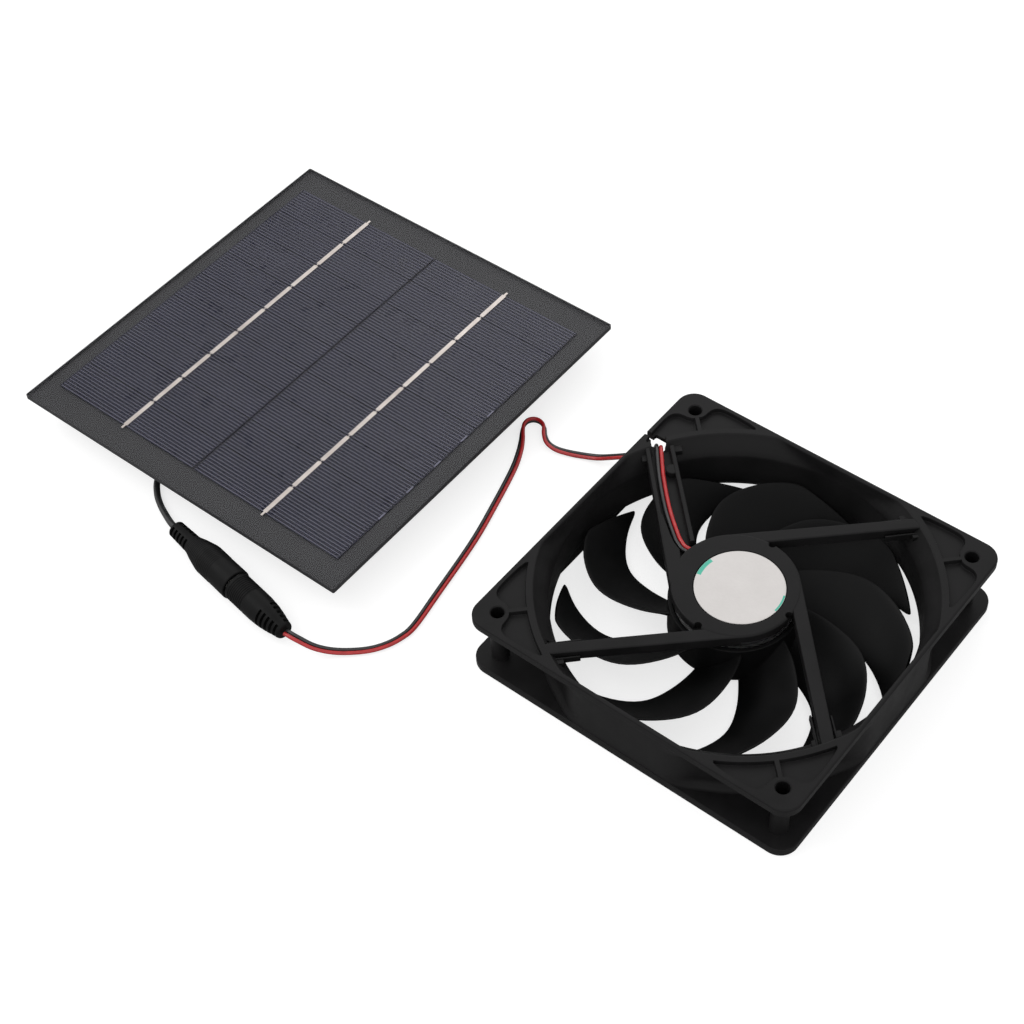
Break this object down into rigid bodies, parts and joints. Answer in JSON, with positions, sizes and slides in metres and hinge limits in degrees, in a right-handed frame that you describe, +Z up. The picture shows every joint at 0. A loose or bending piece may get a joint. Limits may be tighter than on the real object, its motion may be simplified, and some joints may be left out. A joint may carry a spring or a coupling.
{
  "type": "solar attic fan",
  "caption": "Flat square axial fan with swept blades, joined by a two-wire lead and an inline barrel connector to a thin square solar panel on a low junction box.",
  "frame": {"origin": "on the floor, at the middle of the box around the fan and the panel, without the leads and the connector on them", "axes": "+Y runs from the fan to the solar panel, +Z points up out of the fan's exhaust side, +X completes a right-handed set"},
  "size_m": [0.1683, 0.3106, 0.025],
  "materials": {
    "frame_plastic": "fine-textured black moulding",
    "blade_plastic": "satin black moulding",
    "label": "plain warm grey label with two green arcs at its rim",
    "rubber": "matt black rubber",
    "bronze": "oiled sintered bronze",
    "steel": "pressed and laminated steel",
    "bright_steel": "ground steel",
    "magnet": "bonded ferrite, dark grey",
    "copper": "enamelled copper windings",
    "insulator": "off-white moulded nylon",
    "board": "green circuit board",
    "component": "black epoxy packages",
    "nickel": "nickel-plated contacts",
    "connector": "semi-matt black overmould",
    "red_pvc": "red wire insulation",
    "black_pvc": "black wire insulation",
    "panel_black": "charcoal laminate border sheet",
    "film": "clear encapsulant film with a soft gloss",
    "cell": "dark blue-grey silicon with fine silver fingers",
    "ribbon": "tinned copper ribbon",
    "box": "black moulded plastic",
    "adhesive": "grey sealant"
  },
  "bodies": {
    "fan_body": {"frame_housing": "frame_plastic", "motor_label": "label", "bearing_plug": "rubber", "bearing_sleeve": "bronze", "stator_core": "steel", "stator_insulator_lower": "insulator", "stator_insulator_upper": "insulator", "stator_coil_1": "copper", "stator_coil_2": "copper", "stator_coil_3": "copper", "stator_coil_4": "copper", "driver_board": "board", "driver_chip": "component", "driver_capacitor": "component", "hall_sensor": "component", "red_lead": "red_pvc", "black_lead": "black_pvc", "plug_body": "connector", "plug_barrel": "nickel", "plug_insulator": "insulator", "plug_centre_contact": "nickel"},
    "rotor": {"impeller": "blade_plastic", "rotor_yoke": "steel", "magnet_ring": "magnet", "rotor_shaft": "bright_steel", "retaining_clip": "insulator", "thrust_washer": "insulator"},
    "panel_assembly": {"panel_backsheet": "panel_black", "front_film": "film", "cell_row_near": "cell", "cell_row_far": "cell", "busbar_near": "ribbon", "busbar_far": "ribbon", "junction_box_shell": "box", "junction_box_lid": "box", "junction_box_adhesive": "adhesive", "terminal_positive": "nickel", "terminal_negative": "nickel", "blocking_diode": "component", "lead_relief": "rubber", "panel_lead": "black_pvc", "socket_body": "connector", "socket_insulator": "insulator", "socket_contact_sleeve": "nickel", "socket_centre_pin": "nickel"}
  },
  "joints": [
    {"name": "rotor_spin", "type": "hinge", "parent": "fan_body", "child": "rotor", "pos_m": [-0.0028, -0.0953, 0], "axis": [0, 0, -1], "continuous": true},
    {"name": "connector_unplug", "type": "slide", "parent": "fan_body", "child": "panel_assembly", "axis": [0.1611, 0.9869, 0], "range_m": [0, 0.0115]}
  ]
}
